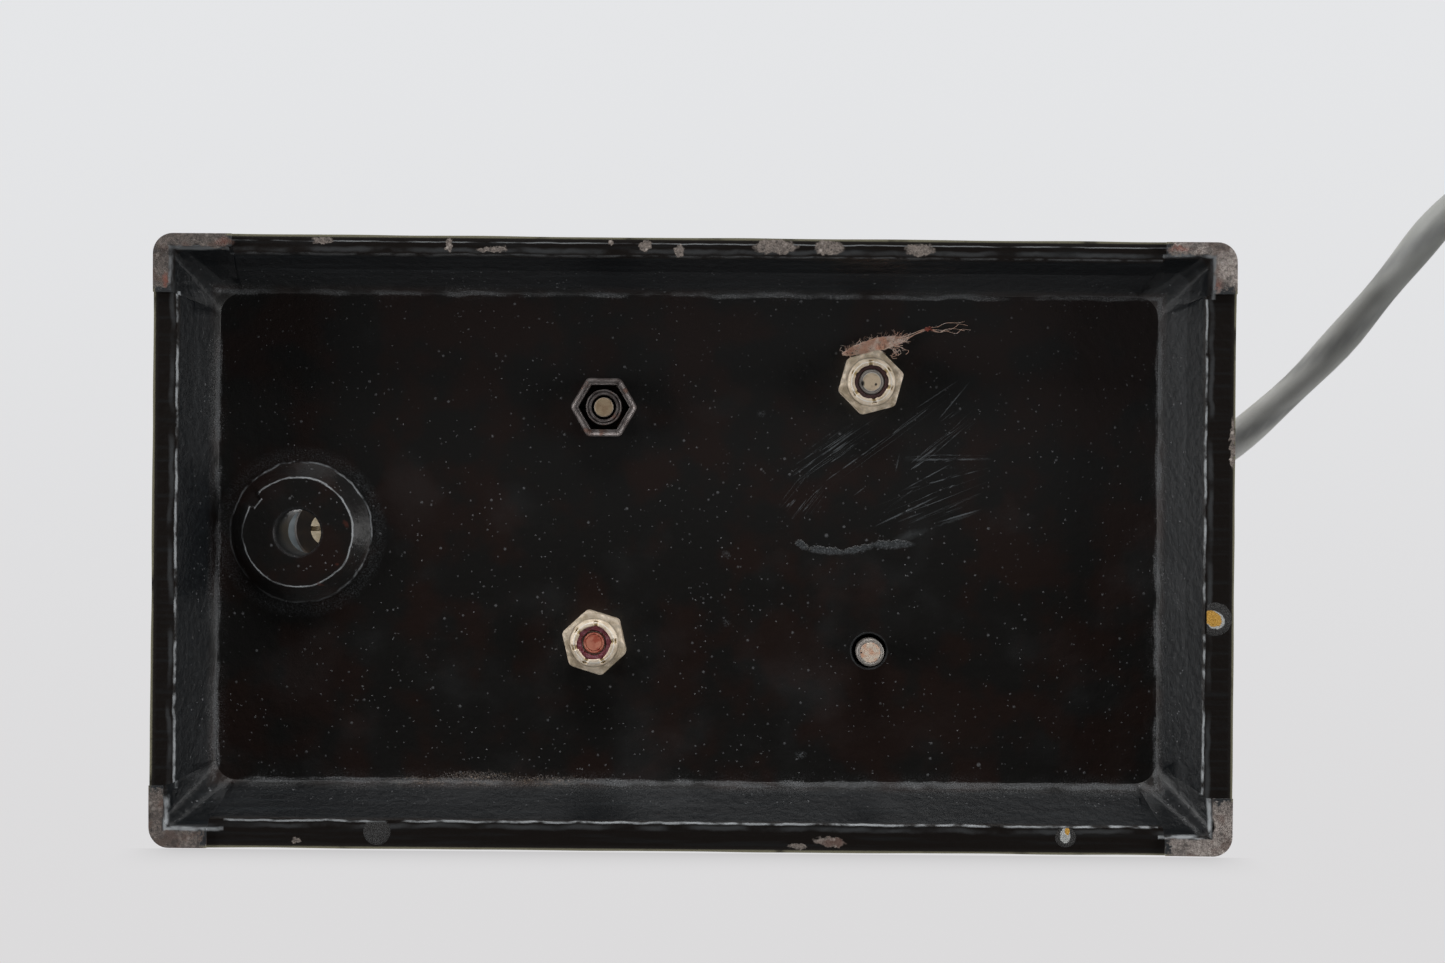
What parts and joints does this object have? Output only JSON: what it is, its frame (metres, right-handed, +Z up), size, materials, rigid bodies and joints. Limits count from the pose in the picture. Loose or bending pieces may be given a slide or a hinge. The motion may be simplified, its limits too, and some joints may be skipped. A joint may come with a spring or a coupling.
{
  "type": "galvanometer",
  "caption": "Moving-coil galvanometer on a cast-iron base: glazed drum, clamp, zero knob, terminals, swivelling dial lamp and supply cable.",
  "frame": {"origin": "middle of the base casting, on the plane of its four feet", "axes": "+Z up, +X towards the bored boss and the dial lamp, +Y towards the back"},
  "size_m": [0.3462, 0.1513, 0.1207],
  "materials": {
    "black_enamel": "satin black stove enamel on cast iron, chipped and worn at the rim",
    "body_filler": "mustard-coloured stopping, matt",
    "stud_steel": "turned steel, dulled",
    "cadmium_plate": "cadmium plate gone cream-grey",
    "red_fibre": "vulcanised fibre, matt red",
    "spring_steel": "pressed spring steel, grey",
    "copper_braid": "tinned copper braid, frayed",
    "crackle_enamel": "black wrinkle enamel on aluminium",
    "lacquered_brass": "turned brass under clear lacquer",
    "movement_brass": "fine-grained brass",
    "tarnished_brass": "brass with greenish tarnish",
    "plug_brass": "bright brass",
    "blued_steel": "blued steel",
    "cork": "varnished cork",
    "clear_glass": "clear glass",
    "red_lacquer": "dark red lacquer on magnet steel",
    "soft_iron": "ground soft iron",
    "bare_aluminium": "bright aluminium strip",
    "enamelled_wire": "enamelled copper wire",
    "black_aluminium": "blackened aluminium",
    "phosphor_bronze": "phosphor bronze strip",
    "ebonite": "turned ebonite",
    "dial_enamel": "ivory dial paint on brass",
    "grey_enamel": "grey enamel on brass",
    "black_rubber": "moulded rubber",
    "cable_sheath": "grey sheath over a twisted core",
    "cotton_tape": "woven cotton tape",
    "brown_phenolic": "moulded brown phenolic"
  },
  "bodies": {
    "case": {"base_casting": "black_enamel", "rim_filler_plugs": "body_filler", "mounting_studs": "stud_steel", "stiff_nuts": "cadmium_plate", "fibre_inserts": "red_fibre", "pressed_lock_nut": "spring_steel", "earth_braid_stub": "copper_braid", "instrument_bedplate": "crackle_enamel", "case_drum": "lacquered_brass", "flange_screws": "blued_steel", "glass_gasket": "cork", "dial_glass": "clear_glass", "bezel_ring": "lacquered_brass", "magnet_laminations": "red_lacquer", "magnet_pillars": "movement_brass", "pole_pieces": "soft_iron", "soft_iron_core": "soft_iron", "core_support": "movement_brass", "upper_bridge": "movement_brass", "lower_bridge": "movement_brass", "jewel_screws": "movement_brass", "lower_hairspring": "phosphor_bronze", "dial_plate": "dial_enamel", "dial_pillars": "movement_brass", "clamp_bush": "lacquered_brass", "terminal_bushes": "ebonite", "terminal_stems": "lacquered_brass", "lamp_arm": "lacquered_brass", "arm_screws": "blued_steel", "lamp_cradle": "grey_enamel", "lampholder_bush": "ebonite", "contact_screw": "tarnished_brass", "lamp_bulb": "clear_glass", "cable_gland": "lacquered_brass", "gland_nut": "lacquered_brass", "strain_relief": "black_rubber", "supply_cable": "cable_sheath", "cable_tie": "cotton_tape", "cable_coil": "cable_sheath", "plug_body": "brown_phenolic", "plug_pins": "plug_brass"},
    "moving_coil": {"coil_former": "bare_aluminium", "coil_winding": "enamelled_wire", "pivot_staffs": "blued_steel", "pointer": "black_aluminium", "balance_weights": "movement_brass"},
    "zero_arm": {"upper_hairspring": "phosphor_bronze", "zero_arm": "movement_brass"},
    "zero_knob": {"zero_knob": "ebonite"},
    "clamp_knob": {"clamp_knob": "lacquered_brass"},
    "clamp_leaf": {"clamp_leaf": "movement_brass"},
    "washer_left": {"terminal_washer_left": "lacquered_brass"},
    "washer_right": {"terminal_washer_right": "lacquered_brass"},
    "nut_left": {"terminal_nut_left": "lacquered_brass"},
    "nut_right": {"terminal_nut_right": "lacquered_brass"},
    "switch_key": {"lamp_switch_key": "lacquered_brass"},
    "lamp_house": {"lamp_house": "grey_enamel", "lamp_cap": "grey_enamel"},
    "lens_tube": {"lens_tube": "lacquered_brass", "lamp_lens": "clear_glass"}
  },
  "joints": [
    {"name": "coil_swing", "type": "hinge", "parent": "case", "child": "moving_coil", "pos_m": [-0.008, -0.0116, 0.05], "axis": [0, 0, 1], "range_deg": [-40, 40], "stiffness_Nm_per_rad": 0.00002},
    {"name": "zero_turn", "type": "hinge", "parent": "case", "child": "zero_knob", "pos_m": [-0.008, -0.0196, 0.08], "axis": [0, 0, 1], "range_deg": [-60, 60]},
    {"name": "zero_arm_turn", "type": "hinge", "parent": "case", "child": "zero_arm", "pos_m": [-0.008, -0.0116, 0.064], "axis": [0, 0, 1], "range_deg": [-8.6, 8.6]},
    {"name": "clamp_turn", "type": "hinge", "parent": "case", "child": "clamp_knob", "pos_m": [-0.008, -0.0396, 0.054], "axis": [0, 1, 0], "range_deg": [0, 180]},
    {"name": "clamp_lift", "type": "slide", "parent": "case", "child": "clamp_leaf", "axis": [0, 0, 1], "range_m": [0, 0.0013]},
    {"name": "lamp_swivel", "type": "hinge", "parent": "case", "child": "lamp_house", "pos_m": [0.0755, 0.0015, 0.07], "axis": [0, 0, 1], "range_deg": [-30, 30]},
    {"name": "lens_slide", "type": "slide", "parent": "lamp_house", "child": "lens_tube", "axis": [-0.9397, 0, -0.342], "range_m": [0, 0.006]},
    {"name": "switch_turn", "type": "hinge", "parent": "case", "child": "switch_key", "pos_m": [0.095, 0.0015, 0.064], "axis": [1, 0, 0], "range_deg": [0, 90]},
    {"name": "washer_left_lift", "type": "slide", "parent": "case", "child": "washer_left", "axis": [0, 0, 1], "range_m": [0, 0.004]},
    {"name": "nut_left_turn", "type": "hinge", "parent": "washer_left", "child": "nut_left", "pos_m": [-0.05988, -0.03399, 0.036], "axis": [0, 0, 1], "range_deg": [0, 1440]},
    {"name": "washer_right_lift", "type": "slide", "parent": "case", "child": "washer_right", "axis": [0, 0, 1], "range_m": [0, 0.004]},
    {"name": "nut_right_turn", "type": "hinge", "parent": "washer_right", "child": "nut_right", "pos_m": [0.04388, -0.03399, 0.036], "axis": [0, 0, 1], "range_deg": [0, 1440]}
  ],
  "couplings": [
    {"joint": "zero_arm_turn", "follows": "zero_turn", "ratio": 0.1407},
    {"joint": "clamp_lift", "follows": "clamp_turn", "m_per_rad": 0.0004138},
    {"joint": "washer_left_lift", "follows": "nut_left_turn", "m_per_rad": 0.00015915},
    {"joint": "washer_right_lift", "follows": "nut_right_turn", "m_per_rad": 0.00015915}
  ]
}
